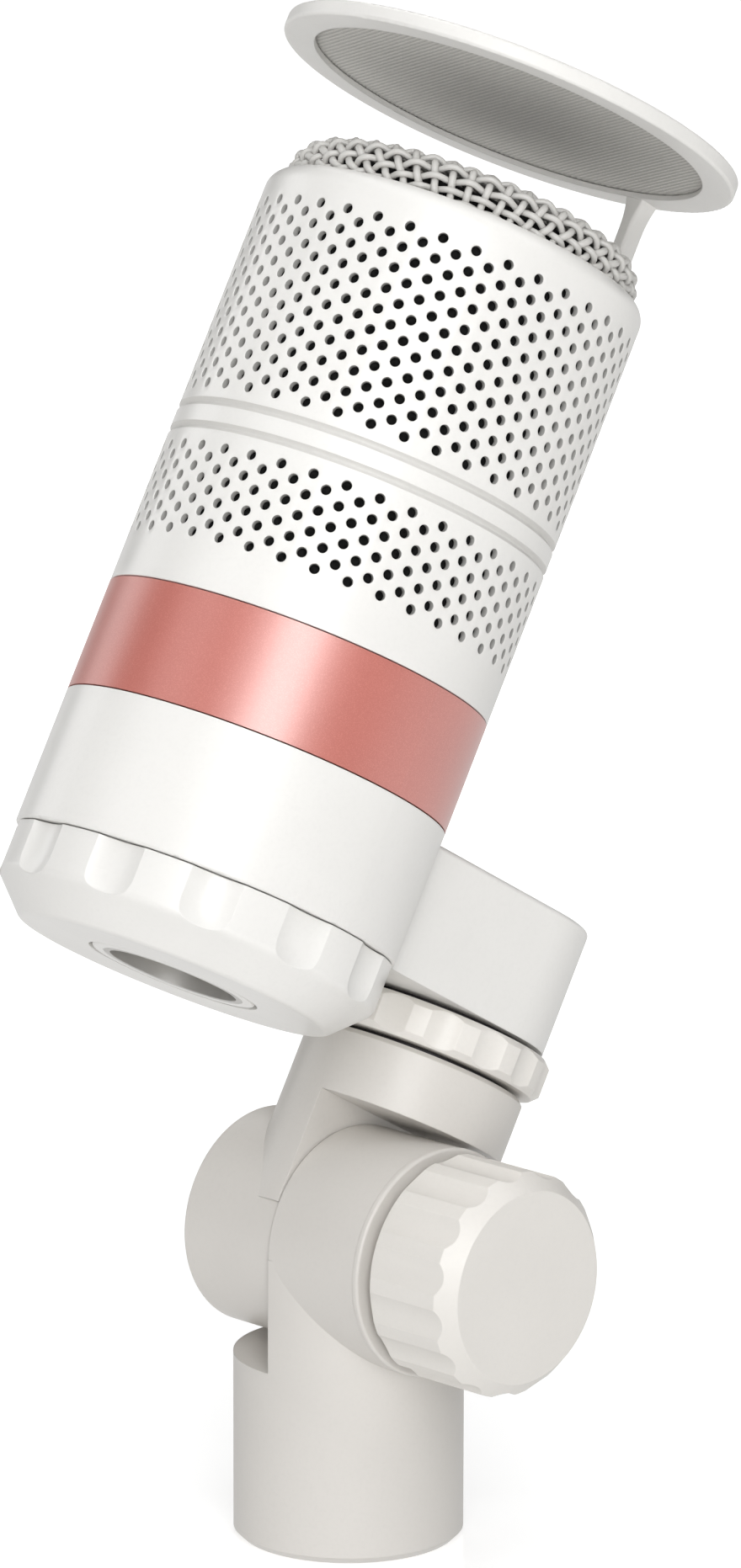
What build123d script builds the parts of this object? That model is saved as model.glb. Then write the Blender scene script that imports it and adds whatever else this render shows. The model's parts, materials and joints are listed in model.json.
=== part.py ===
"""Desktop microphone on a tilting stand mount.

Row frame: millimetres, +Z up, origin at the centre of the stem's bottom face.
The tilt axis runs along X, with the clamp knob on +X.
Head frame: its origin is on the tilt axis, its Z is the neck's axis, and it leans back with the head.
Mic frame: the head frame moved sideways onto the microphone's own axis.
"""
from build123d import *

import os
from math import cos, radians, sin

os.makedirs("parts", exist_ok=True)

# ---------------------------------------------------------------- driving dimensions
TILT_HEIGHT = 45.0          # tilt axis above the stem's bottom face
LEAN = 29.75                # rest lean of the head from upright, degrees, towards +Y
MIC_OFFSET = -53.26         # microphone axis from the neck axis, along the head's Y

RUN = 0.05                  # radial clearance of a running fit
PRESS = 0.02                # radial clearance left between pressed pieces of one body

STEM_R = 17.0
STEM_CHAMFER = 1.0
STEM_FLOOR = 27.76          # floor of the half lap in the stem
STAND_THREAD_R = 7.94       # 5/8 inch stand thread
STAND_THREAD_DEPTH = 17.0
ADAPTER_THREAD_R = 4.76     # 3/8 inch thread inside the adapter
ADAPTER_LENGTH = 16.0

EAR_FACE = 0.55             # inner face of the stem's ear
EAR_END = 18.1
EAR_R = 16.92
TONGUE_FACE = 0.25          # face of the neck's tongue against the ear
TILT_BOLT_R = 4.0

KNOB_BACK = 20.6
KNOB_FACE = 36.94
KNOB_R = 16.6
KNOB_FACE_R = 14.25
KNOB_FLUTES = 15
KNOB_FLUTE_PHASE = 4.0      # first flute, degrees from +Z towards -Y

NECK_R = 16.92
NECK_SHOULDER = 17.8
NECK_TOP = 27.6
BOSS_R = 16.3
BOSS_FACE = -18.25
POST_R = 6.94

RING_R = 18.75
RING_BOTTOM = 28.3
RING_TOP = 34.4
RING_CHAMFER = 0.95
RING_FLUTES = 15
RING_FLUTE_PHASE = 8.2

MIC_R = 29.0
HOUSING_BOTTOM = 34.88
HOUSING_TOP = 55.26
BLOCK_BOTTOM = 35.2
BLOCK_TOP = 54.6
BLOCK_R = 17.05
BLOCK_BLEND_R = 3.0         # soft inner corner where the block meets the drum
BLOCK_EDGE = 0.8
BUSH_R = 7.5
NUT_ROOM_R = 8.3            # room for the swivel nut, closed by a plug
NUT_FLOOR = 48.9
SOCKET_GROMMET_R = 3.4      # sleeve that guides the pop filter's stalk
GAP_LINE = 0.2              # fine dark line between the shells
COLOR_TOP = 72.26
SHELL_TOP = 137.0
SHELL_WALL = 1.0
RIM_FILLET = 2.8
RIM_OPENING_R = 27.1
GROOVES = (95.73, 99.37)
GROOVE_WIDTH = 0.9
GROOVE_DEPTH = 0.5

CAP_CREST_R = 28.75
CAP_CONE_TOP = 27.5
CAP_FACE = 22.3
CAP_FACE_R = 23.6
CAP_FLUTES = 12
CAP_FLUTE_PHASE = 17.3
CAP_OPENING_R = 12.9
SOCKET_R = 9.67             # inside of the round three-pin socket
SOCKET_WALL = 0.95
BEZEL_R = 12.5
PIN_R = 1.2
PIN_CIRCLE_R = 5.4
PLATE_BOTTOM = 41.0         # plate that holds the socket
BOARD_BOTTOM = 44.6
SCREW_CIRCLE_R = 21.0

CAPSULE_LOW = 102.0
CAPSULE_R = 17.0

DOME_R = 27.0
DOME_SHOULDER = 5.0
DOME_SIDE_TOP = 138.3
DOME_TOP = 145.6
DOME_WALL = 1.9

POP_TOP = 159.46
POP_THICK = 2.37
POP_UNDER = POP_TOP - POP_THICK
MESH_POCKET_R = 32.6
POP_R = 34.9
POP_OPENING_R = 30.1
STALK_Y = 32.4              # stalk centre behind the microphone axis
STALK_WIDTH = 2.2
STALK_DEPTH = 3.4
STALK_BOTTOM = 41.0

HEAD = Pos(0, 0, TILT_HEIGHT) * Rot(-LEAN, 0, 0)
MIC = HEAD * Pos(0, MIC_OFFSET, 0)
TILT = Pos(0, 0, TILT_HEIGHT) * Rot(0, 90, 0)      # local Z along +X
UP = (Align.CENTER, Align.CENTER, Align.MIN)


# ---------------------------------------------------------------- helpers
def disc(radius, low, high):
    """A round solid from low to high along Z."""
    return Pos(0, 0, low) * Cylinder(radius, high - low, align=UP)


def tube(outer, inner, low, high):
    """A ring or tube from low to high along Z."""
    return disc(outer, low, high) - disc(inner, low - 1, high + 1)


def turned(*points):
    """A solid of revolution about Z from (radius, height) corners."""
    outline = Polyline(*[(r, 0, z) for r, z in points], close=True)
    return revolve(make_face(outline), Axis.Z)


def around(piece, count, phase=0.0):
    """Copies of a piece, evenly spaced about Z."""
    return [Rot(0, 0, phase + 360 / count * i) * piece for i in range(count)]


def ring_edges(piece, radius, height):
    """The circular edges of a given radius at a given height."""
    return [
        edge
        for edge in piece.edges().filter_by(GeomType.CIRCLE)
        if abs(edge.radius - radius) < 0.01 and abs(edge.arc_center.Z - height) < 0.01
    ]


def fluting(crest, count, phase, cutter_r, depth, low, high):
    """Cutters for shallow round flutes about Z, each with a round end at its low side."""
    cutter = disc(cutter_r, low, high) + Pos(0, 0, low) * Sphere(cutter_r)
    return around(Pos(crest + cutter_r - depth, 0, 0) * cutter, count, phase)


def save(node, piece, place=None):
    """Write one node, in the row frame."""
    solid = place * piece if place else piece
    export_step(Compound(children=solid.solids(), label=node), f"parts/{node}.step")


# ---------------------------------------------------------------- stand post
def make_stem():
    base = chamfer(disc(STEM_R, 0, TILT_HEIGHT).edges().group_by(Axis.Z)[0], STEM_CHAMFER)
    lap = Pos(EAR_FACE, 0, STEM_FLOOR) * Box(80, 80, 80, align=(Align.MAX, Align.CENTER, Align.MIN))
    ear = TILT * disc(EAR_R, EAR_FACE, EAR_END)
    bolt_hole = TILT * disc(TILT_BOLT_R + RUN, -30, 30)
    recess = TILT * disc(12.2, EAR_FACE - 1, EAR_FACE + 1.0)
    thread = disc(STAND_THREAD_R, -1, STAND_THREAD_DEPTH)
    return (base - lap) + ear - bolt_hole - recess - thread


def make_thread_adapter():
    sleeve = tube(STAND_THREAD_R - PRESS, ADAPTER_THREAD_R, 0, ADAPTER_LENGTH)
    driver_slot = Box(40, 1.8, 2.4)
    return sleeve - driver_slot


def make_tilt_bolt():
    """Clamp bolt along the tilt axis: a hex head in the boss and a round shank out to the knob."""
    shank = disc(TILT_BOLT_R, -13.4, 32.0)
    head = extrude(Pos(0, 0, -16.6) * RegularPolygon(6.6, 6), 3.2)
    return chamfer((shank + head).edges().group_by(Axis.Z)[-1], 0.6)


save("stem", make_stem())
save("thread_adapter", make_thread_adapter())
save("tilt_bolt", make_tilt_bolt(), TILT)
save("friction_disc", tube(12.0, TILT_BOLT_R + 0.3, EAR_FACE - 0.2, EAR_FACE + 0.95), TILT)
ear_washer = tube(STEM_R, TILT_BOLT_R + 0.3, EAR_END + PRESS, EAR_END + 1.0)
save("ear_washer", fillet(ring_edges(ear_washer, STEM_R, EAR_END + 1.0), 0.4), TILT)
save("spring_washer", tube(9.0, TILT_BOLT_R + 0.4, EAR_END + 1.02, KNOB_BACK - 0.1), TILT)


# ---------------------------------------------------------------- tilt knob
def make_tilt_knob():
    """Fluted clamp knob, turned about its own Z, with its open back at KNOB_BACK."""
    bevel = KNOB_R - KNOB_FACE_R
    body = turned(
        (0, KNOB_BACK),
        (KNOB_R - 0.8, KNOB_BACK),
        (KNOB_R, KNOB_BACK + 0.8),
        (KNOB_R, KNOB_FACE - bevel * 1.1),
        (KNOB_FACE_R, KNOB_FACE),
        (0, KNOB_FACE),
    )
    flute_r = 5.0
    cutter = disc(flute_r, KNOB_BACK - 1, KNOB_FACE + 1)
    flutes = around(Pos(KNOB_R + flute_r - 0.75, 0, 0) * cutter, KNOB_FLUTES, 180 + KNOB_FLUTE_PHASE)
    insert_hole = disc(7.0, KNOB_BACK - 1, 33.6)
    return body - flutes - insert_hole


save("tilt_knob", make_tilt_knob(), TILT)
save("knob_insert", tube(7.0 - PRESS, TILT_BOLT_R + RUN, KNOB_BACK + 0.1, 33.4), TILT)


# ---------------------------------------------------------------- yoke
def make_yoke():
    """Neck, tongue and round boss in one casting, in the head frame."""
    neck = chamfer(disc(NECK_R, 0, NECK_TOP).edges().group_by(Axis.Z)[-1], 0.7)
    ear_room = Pos(TONGUE_FACE, 0, NECK_SHOULDER) * Box(
        80, 80, 80, align=(Align.MIN, Align.CENTER, Align.MAX)
    )
    boss = Rot(0, 90, 0) * disc(BOSS_R, BOSS_FACE, TONGUE_FACE)
    boss = fillet(boss.edges().group_by(Axis.X)[0], 0.6)
    bolt_hole = Rot(0, 90, 0) * disc(TILT_BOLT_R + RUN, -30, 5)
    head_room = Rot(0, 90, 0) * disc(7.4, BOSS_FACE - 1, -13.1)
    cap_seat = Rot(0, 90, 0) * disc(12.0, BOSS_FACE - 1, BOSS_FACE + 1.3)
    post_hole = disc(6.0, 19.2, NECK_TOP + 1)
    return (neck - ear_room) + boss - bolt_hole - head_room - cap_seat - post_hole


def make_swivel_post():
    """Stepped post: held in the neck, through the lock ring, up into the side block."""
    return turned(
        (0, 19.4),
        (6.0 - PRESS, 19.4),
        (6.0 - PRESS, NECK_TOP),
        (POST_R, NECK_TOP),
        (POST_R, BLOCK_BOTTOM - 0.1),
        (5.5, BLOCK_BOTTOM - 0.1),
        (5.5, 48.6),
        (4.0, 48.6),
        (4.0, 52.4),
        (0, 52.4),
    )


save("yoke", make_yoke(), HEAD)
boss_cap = tube(12.0 - PRESS, 1.5, BOSS_FACE + 0.2, BOSS_FACE + 1.28)
save("boss_cap", boss_cap, TILT)
save("swivel_post", make_swivel_post(), HEAD)
save("lower_thrust_washer", tube(14.0, POST_R + 0.2, NECK_TOP + PRESS, RING_BOTTOM - 0.1), HEAD)
swivel_nut = extrude(Pos(0, 0, 48.7) * RegularPolygon(7.2, 6), 3.4) - disc(4.0 + PRESS, 48, 53)
save("swivel_nut", swivel_nut, HEAD)


# ---------------------------------------------------------------- lock ring
def make_lock_ring():
    body = disc(RING_R, RING_BOTTOM, RING_TOP)
    body = chamfer(ring_edges(body, RING_R, RING_BOTTOM) + ring_edges(body, RING_R, RING_TOP), RING_CHAMFER)
    flute_r = 6.0
    cutter = disc(flute_r, RING_BOTTOM - 1, RING_TOP + 1)
    flutes = around(Pos(RING_R + flute_r - 0.7, 0, 0) * cutter, RING_FLUTES, RING_FLUTE_PHASE)
    return body - flutes - disc(POST_R + RUN, RING_BOTTOM - 1, RING_TOP + 1)


save("lock_ring", make_lock_ring(), HEAD)


# ---------------------------------------------------------------- rear housing and its side block
def make_rear_housing():
    """Round shell with a round-ended side block that carries the swivel, in the mic frame."""
    neck_y = -MIC_OFFSET
    drum = disc(MIC_R, HOUSING_BOTTOM, HOUSING_TOP)
    drum = fillet(ring_edges(drum, MIC_R, HOUSING_BOTTOM), 0.4)
    outline = Circle(MIC_R) + Pos(0, neck_y / 2) * Rectangle(2 * BLOCK_R, neck_y)
    outline += Pos(0, neck_y) * Circle(BLOCK_R)
    inner_corners = [corner for corner in outline.vertices() if corner.Y < MIC_R]
    outline = fillet(inner_corners, BLOCK_BLEND_R)
    block = Pos(0, 0, BLOCK_BOTTOM) * extrude(outline, BLOCK_TOP - BLOCK_BOTTOM)
    block = fillet(block.edges().group_by(Axis.Z)[-1], BLOCK_EDGE)
    casting = drum + block
    inside = disc(MIC_R - 2.0, HOUSING_BOTTOM - 1, HOUSING_TOP + 1)
    bush_hole = Pos(0, neck_y, 0) * disc(BUSH_R, BLOCK_BOTTOM - 1, NUT_FLOOR)
    nut_room = Pos(0, neck_y, 0) * disc(NUT_ROOM_R, NUT_FLOOR - 0.01, BLOCK_TOP + 1)
    grommet_hole = Pos(0, STALK_Y, 0) * disc(SOCKET_GROMMET_R, STALK_BOTTOM - 1.0, BLOCK_TOP + 1)
    return casting - inside - bush_hole - nut_room - grommet_hole


def make_stalk_socket():
    sleeve = disc(SOCKET_GROMMET_R - PRESS, STALK_BOTTOM - 0.9, BLOCK_TOP + 0.6)
    slot = Pos(0, 0, STALK_BOTTOM - 0.3) * Box(STALK_WIDTH + 0.14, STALK_DEPTH + 0.14, 40, align=UP)
    return Pos(0, STALK_Y, 0) * (sleeve - slot)


save("rear_housing", make_rear_housing(), MIC)
post_bush = tube(BUSH_R - PRESS, 5.5 + RUN, BLOCK_BOTTOM + 0.05, 48.4)
save("post_bush", post_bush, HEAD)
save("upper_thrust_washer", tube(14.2, BUSH_R + 0.3, RING_TOP + 0.1, BLOCK_BOTTOM - PRESS), HEAD)
save("block_plug", disc(NUT_ROOM_R - PRESS, 53.0, BLOCK_TOP - 0.2), HEAD)
save("stalk_socket", make_stalk_socket(), MIC)


# ---------------------------------------------------------------- end cap and the socket behind it
def make_end_cap():
    """Fluted screw cap with a flat face, a bevel and an opening round the socket, in the mic frame."""
    body = turned(
        (0, CAP_FACE),
        (CAP_FACE_R, CAP_FACE),
        (CAP_CREST_R, CAP_CONE_TOP),
        (CAP_CREST_R, HOUSING_BOTTOM - GAP_LINE),
        (0, HOUSING_BOTTOM - GAP_LINE),
    )
    body = fillet(ring_edges(body, CAP_FACE_R, CAP_FACE) + ring_edges(body, CAP_CREST_R, CAP_CONE_TOP), 1.6)
    flute_r = 9.4
    flute_depth = 1.1
    flute_end = CAP_CONE_TOP + 2.6
    flutes = fluting(
        CAP_CREST_R, CAP_FLUTES, CAP_FLUTE_PHASE, flute_r, flute_depth, flute_end, HOUSING_BOTTOM + 1
    )
    spigot = disc(MIC_R - 2.4, HOUSING_BOTTOM - 1, HOUSING_BOTTOM + 4.5)
    hollow = disc(24.8, CAP_FACE + 2.4, HOUSING_BOTTOM + 6)
    opening = disc(CAP_OPENING_R, CAP_FACE - 1, CAP_FACE + 4)
    return (body - flutes) + spigot - hollow - opening


def make_contact_pins():
    pin = disc(PIN_R, 25.6, 46.0)
    pin = fillet(pin.edges().group_by(Axis.Z)[0], 0.8)
    return [Rot(0, 0, angle) * Pos(PIN_CIRCLE_R, 0, 0) * pin for angle in (-90, 30, 150)]


def pin_holes(low, high):
    hole = disc(PIN_R + PRESS, low, high)
    return [Rot(0, 0, angle) * Pos(PIN_CIRCLE_R, 0, 0) * hole for angle in (-90, 30, 150)]


screw_hole = Pos(SCREW_CIRCLE_R, 0, 0) * disc(1.3, 30, 60)

save("end_cap", make_end_cap(), MIC)
save("socket_shell", tube(SOCKET_R + SOCKET_WALL, SOCKET_R, CAP_FACE, PLATE_BOTTOM + 1.5), MIC)
bezel = tube(BEZEL_R, SOCKET_R + SOCKET_WALL + PRESS, CAP_FACE, CAP_FACE + 2.2)
save("socket_bezel", fillet(ring_edges(bezel, BEZEL_R, CAP_FACE), 0.5), MIC)
save("socket_insulator", disc(SOCKET_R - PRESS, 37.5, 42.5) - pin_holes(30, 50), MIC)
save("contact_pins", Compound(children=[pin.solid() for pin in make_contact_pins()]), MIC)
socket_plate = tube(MIC_R - 2.05, SOCKET_R + SOCKET_WALL + PRESS, PLATE_BOTTOM, PLATE_BOTTOM + 1.5)
save("socket_plate", socket_plate - around(screw_hole, 3, 30), MIC)
board = disc(25.0, BOARD_BOTTOM, BOARD_BOTTOM + 1.6) - pin_holes(40, 50) - around(screw_hole, 3, 30)
save("circuit_board", board, MIC)
spacer = Pos(SCREW_CIRCLE_R, 0, 0) * tube(2.6, 1.3, PLATE_BOTTOM + 1.52, BOARD_BOTTOM - PRESS)
save("board_spacers", Compound(children=[s.solid() for s in around(spacer, 3, 30)]), MIC)
screw = disc(1.25, PLATE_BOTTOM, BOARD_BOTTOM + 1.7) + disc(2.4, BOARD_BOTTOM + 1.62, BOARD_BOTTOM + 3.2)
screw = Pos(SCREW_CIRCLE_R, 0, 0) * screw
save("board_screws", Compound(children=[s.solid() for s in around(screw, 3, 30)]), MIC)


# ---------------------------------------------------------------- middle and body shells
def make_body_shell():
    """Thin tube with a rounded rim and two fine grooves, in the mic frame."""
    low = COLOR_TOP
    body = disc(MIC_R, low, SHELL_TOP)
    body = fillet(ring_edges(body, MIC_R, SHELL_TOP), RIM_FILLET - 0.001)
    for height in GROOVES:
        body -= tube(MIC_R + 1, MIC_R - GROOVE_DEPTH, height - GROOVE_WIDTH / 2, height + GROOVE_WIDTH / 2)
    body -= disc(MIC_R - SHELL_WALL, low - 1, SHELL_TOP - RIM_FILLET - 1.2)
    return body - disc(RIM_OPENING_R, low, SHELL_TOP + 1)


save("color_ring", tube(MIC_R, MIC_R - 2.0, HOUSING_TOP + GAP_LINE, COLOR_TOP - GAP_LINE), MIC)
save("body_shell", make_body_shell(), MIC)
save("chassis_sleeve", tube(MIC_R - 2.06, MIC_R - 3.4, 49.5, 77.0), MIC)
chassis_plate = tube(MIC_R - 3.45, 5.0, 74.6, 76.6)
save("chassis_plate", chassis_plate, MIC)
save("foam_liner", tube(27.6, 24.8, 78.0, 129.0), MIC)
save("grille_seat_ring", tube(27.7, 24.2, 129.2, 130.8), MIC)


# ---------------------------------------------------------------- wire mesh dome
def dome_solid(radius, side_top, top, low):
    """A round-shouldered dome with a gently crowned top."""
    shoulder = DOME_SHOULDER - (DOME_R - radius)
    flat_r = radius - shoulder
    lean = radians(78)
    join = (flat_r + shoulder * cos(lean), side_top + shoulder * sin(lean))
    outline = [
        Line((0, 0, low), (radius, 0, low)),
        Line((radius, 0, low), (radius, 0, side_top)),
        ThreePointArc(
            (radius, 0, side_top),
            (flat_r + shoulder * cos(lean / 2), 0, side_top + shoulder * sin(lean / 2)),
            (join[0], 0, join[1]),
        ),
    ]
    # The crown is an arc from the shoulder to the axis, level at the axis.
    rise = top - join[1]
    crown_r = (join[0] ** 2 + rise**2) / (2 * rise)
    half = join[0] / 2
    middle = top - crown_r + (crown_r**2 - half**2) ** 0.5
    outline.append(ThreePointArc((join[0], 0, join[1]), (half, 0, middle), (0, 0, top)))
    outline.append(Line((0, 0, top), (0, 0, low)))
    return revolve(make_face(Wire(outline)), Axis.Z)


dome_outer = dome_solid(DOME_R - RUN, DOME_SIDE_TOP, DOME_TOP, 131.0)
dome_inner = dome_solid(DOME_R - DOME_WALL, DOME_SIDE_TOP, DOME_TOP - DOME_WALL, 130.0)
foam_pad = dome_solid(DOME_R - DOME_WALL - 0.1, DOME_SIDE_TOP - 0.3, DOME_TOP - DOME_WALL - 0.4, 131.2)
save("mesh_dome", dome_outer - dome_inner, MIC)
save("dome_foam", foam_pad - disc(30, 100, 137.5), MIC)


# ---------------------------------------------------------------- capsule
save("capsule_cage", tube(24.3, 23.3, 76.7, 126.0), MIC)
capsule_can = disc(CAPSULE_R, CAPSULE_LOW, 123.0) - disc(CAPSULE_R - 1.0, CAPSULE_LOW + 1.2, 124)
save("capsule_can", capsule_can - around(Pos(8, 0, 0) * disc(1.5, 100, 104), 6, 30), MIC)
pole_cup = disc(13.5, 103.3, 114.0) - tube(12.0, 9.0, 105.5, 115) - disc(9.0, 105.5, 115)
save("magnet_cup", pole_cup, MIC)
save("magnet", disc(8.6, 105.52, 113.0), MIC)
save("pole_piece", disc(9.2, 113.02, 114.2), MIC)
save("voice_coil", tube(10.9, 10.0, 110.0, 116.4), MIC)
diaphragm = turned(
    (0, 119.3), (5.0, 118.7), (9.0, 117.2), (10.9, 116.5), (13.4, 117.2), (15.6, 116.5),
    (15.6, 116.9), (13.4, 117.6), (10.9, 116.9), (9.0, 117.6), (5.0, 119.1), (0, 119.7),
)
save("diaphragm", diaphragm, MIC)
capsule_grille = disc(CAPSULE_R - 1.02, 121.6, 122.6)
sound_holes = around(Pos(6, 0, 0) * disc(1.4, 120, 124), 6)
sound_holes += around(Pos(11.5, 0, 0) * disc(1.4, 120, 124), 12)
save("capsule_grille", capsule_grille - sound_holes, MIC)
for node, low in (("lower_shock_ring", 104.0), ("upper_shock_ring", 118.0)):
    save(node, tube(23.28, CAPSULE_R + PRESS, low, low + 3.0), MIC)
lead = Pos(3.0, 0, 0) * disc(0.6, BOARD_BOTTOM + 1.65, CAPSULE_LOW - 0.05)
save("signal_leads", Compound(children=[s.solid() for s in around(lead, 2)]), MIC)


# ---------------------------------------------------------------- pop filter
def make_pop_frame():
    body = disc(POP_R, POP_UNDER, POP_TOP)
    body = fillet(ring_edges(body, POP_R, POP_UNDER) + ring_edges(body, POP_R, POP_TOP), 0.45)
    body -= disc(POP_OPENING_R, POP_UNDER - 1, POP_TOP + 1)
    return body - disc(MESH_POCKET_R, POP_UNDER + 0.8, POP_TOP + 1)


def make_pop_stalk():
    bar = Pos(0, STALK_Y, STALK_BOTTOM) * Box(
        STALK_WIDTH, STALK_DEPTH, POP_UNDER - STALK_BOTTOM - PRESS, align=UP
    )
    return fillet(bar.edges().filter_by(Axis.Z), 0.35)


save("pop_frame", make_pop_frame(), MIC)
save("pop_stalk", make_pop_stalk(), MIC)
save("pop_screen", disc(MESH_POCKET_R - 0.1, POP_UNDER + 0.82, POP_UNDER + 1.3), MIC)
save("pop_snap_ring", tube(MESH_POCKET_R - PRESS, 30.3, POP_UNDER + 1.32, POP_TOP - 0.1), MIC)
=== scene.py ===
"""Finished look of the desktop microphone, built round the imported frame.

Meshes are worked out in millimetres in the microphone's own frame, whose Z runs along the body towards the
mesh dome and whose Y points at the swivel. They become metres in the row frame when a piece is made.
Materials, lights and the camera are in metres from the start.
"""

import json
from math import acos, asin, atan2, cos, degrees, hypot, log, pi, radians, sin, sqrt, tau

import bmesh
import bpy
import numpy as np
from mathutils import Matrix, Vector


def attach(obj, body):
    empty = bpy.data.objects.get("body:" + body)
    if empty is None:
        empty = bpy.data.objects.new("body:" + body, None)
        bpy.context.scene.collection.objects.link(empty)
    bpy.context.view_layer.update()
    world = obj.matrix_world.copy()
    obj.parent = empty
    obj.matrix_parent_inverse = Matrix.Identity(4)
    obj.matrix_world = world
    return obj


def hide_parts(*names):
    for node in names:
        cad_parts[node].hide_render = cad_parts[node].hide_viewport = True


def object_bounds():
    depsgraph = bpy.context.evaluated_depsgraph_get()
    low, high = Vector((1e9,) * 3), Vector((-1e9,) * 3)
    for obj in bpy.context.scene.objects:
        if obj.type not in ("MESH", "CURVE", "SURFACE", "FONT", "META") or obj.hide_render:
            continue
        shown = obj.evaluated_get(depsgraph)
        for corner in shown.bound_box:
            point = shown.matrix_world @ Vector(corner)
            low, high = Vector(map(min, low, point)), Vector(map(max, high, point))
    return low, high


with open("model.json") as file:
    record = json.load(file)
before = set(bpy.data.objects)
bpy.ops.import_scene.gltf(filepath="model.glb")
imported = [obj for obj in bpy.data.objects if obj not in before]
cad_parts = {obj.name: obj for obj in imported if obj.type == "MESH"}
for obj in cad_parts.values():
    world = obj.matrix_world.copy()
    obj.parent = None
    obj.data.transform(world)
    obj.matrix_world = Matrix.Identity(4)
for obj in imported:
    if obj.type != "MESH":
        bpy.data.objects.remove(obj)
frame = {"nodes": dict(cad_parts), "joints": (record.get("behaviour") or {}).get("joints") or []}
cad_low, cad_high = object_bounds()
NODES = frame["nodes"]
JOINTS = {joint["name"]: joint for joint in frame["joints"]}
MM = 0.001

# ---------------------------------------------------------------- sizes
CAP_FACE = 22.3             # height of the end cap's face, where the point of its joint lies

SHELL_R = 29.0
SHELL_WALL = 1.0
SHELL_BOTTOM = 72.26
SHELL_EDGE = 0.12           # rounding of the shell's bottom edge
RIM_START = 134.3
RIM_FILLET = 2.8
RIM_OPENING_R = 27.1
RIM_LIP = 0.35              # how far the rim's fillet stops outside its opening
LIP_UNDER = 133.0
GROOVES = (95.73, 99.37)
GROOVE_HALF = 0.6           # half the width of a groove
GROOVE_DEPTH = 0.62
GROOVE_STEPS = 10

HOLE_R = 0.76
HOLE_EDGE = 0.07            # rounding of a hole's painted edge
HOLE_SIDES = 20
ROW_PITCH = 1.59
HOLE_STEP = 10.0            # degrees between holes of one row
HOLE_PHASE = 1.1
UPPER_FIELD = (130.77, 19)  # height of the top row, number of rows
LOWER_FIELD = (92.66, 9)

DOME_R = 26.95
DOME_SHOULDER = 5.0
DOME_LEAN = 78.0            # tilt of the shoulder's normal where the crown starts, degrees
DOME_SIDE_TOP = 138.3
DOME_TOP = 145.55
DOME_LOW = 135.6
ACROSS_WIRE_R = 0.47
ALONG_WIRE_R = 0.545
WIRE_PITCH = 2.881
WEAVE_ANGLE = -43.5         # direction of the straighter wires, degrees from +X towards +Y
WEAVE_SHIFT = (0.599, 0.313)    # place of the two sets of wires, in pitches
CRIMP_ACROSS = 0.56         # how far each wire weaves to either side of the sheet
CRIMP_ALONG = 0.46
WIRE_SIDES = 10
STEPS_PER_PITCH = 6         # sections of a wire's tube in one pitch
PRESS_START = 21.6          # the flat sheet closes up from this radius on, as it is pressed into the dome
PRESS_RATE = 0.0669         # how fast it closes up, per millimetre

FOAM_R = 27.93
FOAM_INNER_R = 24.9
FOAM_LOW = 78.1
FOAM_HIGH = 128.9
FOAM_COLLAR_R = 27.73       # a thin collar of foam goes on up outside the grille's seat ring
FOAM_COLLAR_TOP = 132.6
FOAM_SHRINK = 0.0025        # share of its radius that the cut foam stays inside its size
FOAM_WAVE = 0.004           # share of its radius that the cut surface wanders
PAD_INSET = 3.1             # top of the foam pad below the dome's outside
PAD_SHARE = 0.93            # share of the dome's profile that the pad follows
PAD_HOLLOW = 3.0            # height of the hollow under the pad, and width of its rim
PAD_SINK = 0.25             # the whole pad sits this much lower, and its surface wanders about that
PAD_WAVE = 0.35

POP_UNDER = 157.09
FABRIC_R = 32.4
FABRIC_HEIGHT = 158.01
FABRIC_ROWS = 36            # mesh rows along each rib
STEPS_PER_RIB = 6           # mesh columns across each rib
RIB_PITCH = 0.711
RIB_HEIGHT = 0.09
RIB_ANGLE = -28.2           # direction of the ribs, degrees from +X towards +Y
STALK_Y = 32.4
STALK_WIDTH = 2.2
STALK_DEPTH = 3.4
STALK_BOTTOM = 41.0
STALK_CORNER_R = 0.5
STALK_CORNER_STEPS = 4
FLARE_LENGTH = 6.0          # the stalk widens over this length below the ring
FLARE_STEPS = 10
FLARE_WIDE = 0.9            # growth of its half width at the ring
FLARE_DEEP = 0.1            # growth of its half depth at the ring
STALK_OVERLAP = 0.4         # how far its top goes up into the ring


def mic_frame():
    """The microphone's frame, from the axis that its end cap turns on."""
    cap = JOINTS["end_cap_turn"]
    up = -Vector(cap["axis"]).normalized()
    side = Vector((1, 0, 0))
    back = up.cross(side)
    origin = Vector(cap["pos_m"]) - up * CAP_FACE * MM
    turn = Matrix((side, back, up)).transposed().to_4x4()
    return Matrix.Translation(origin) @ turn @ Matrix.Scale(MM, 4)


MIC = mic_frame()


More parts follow.
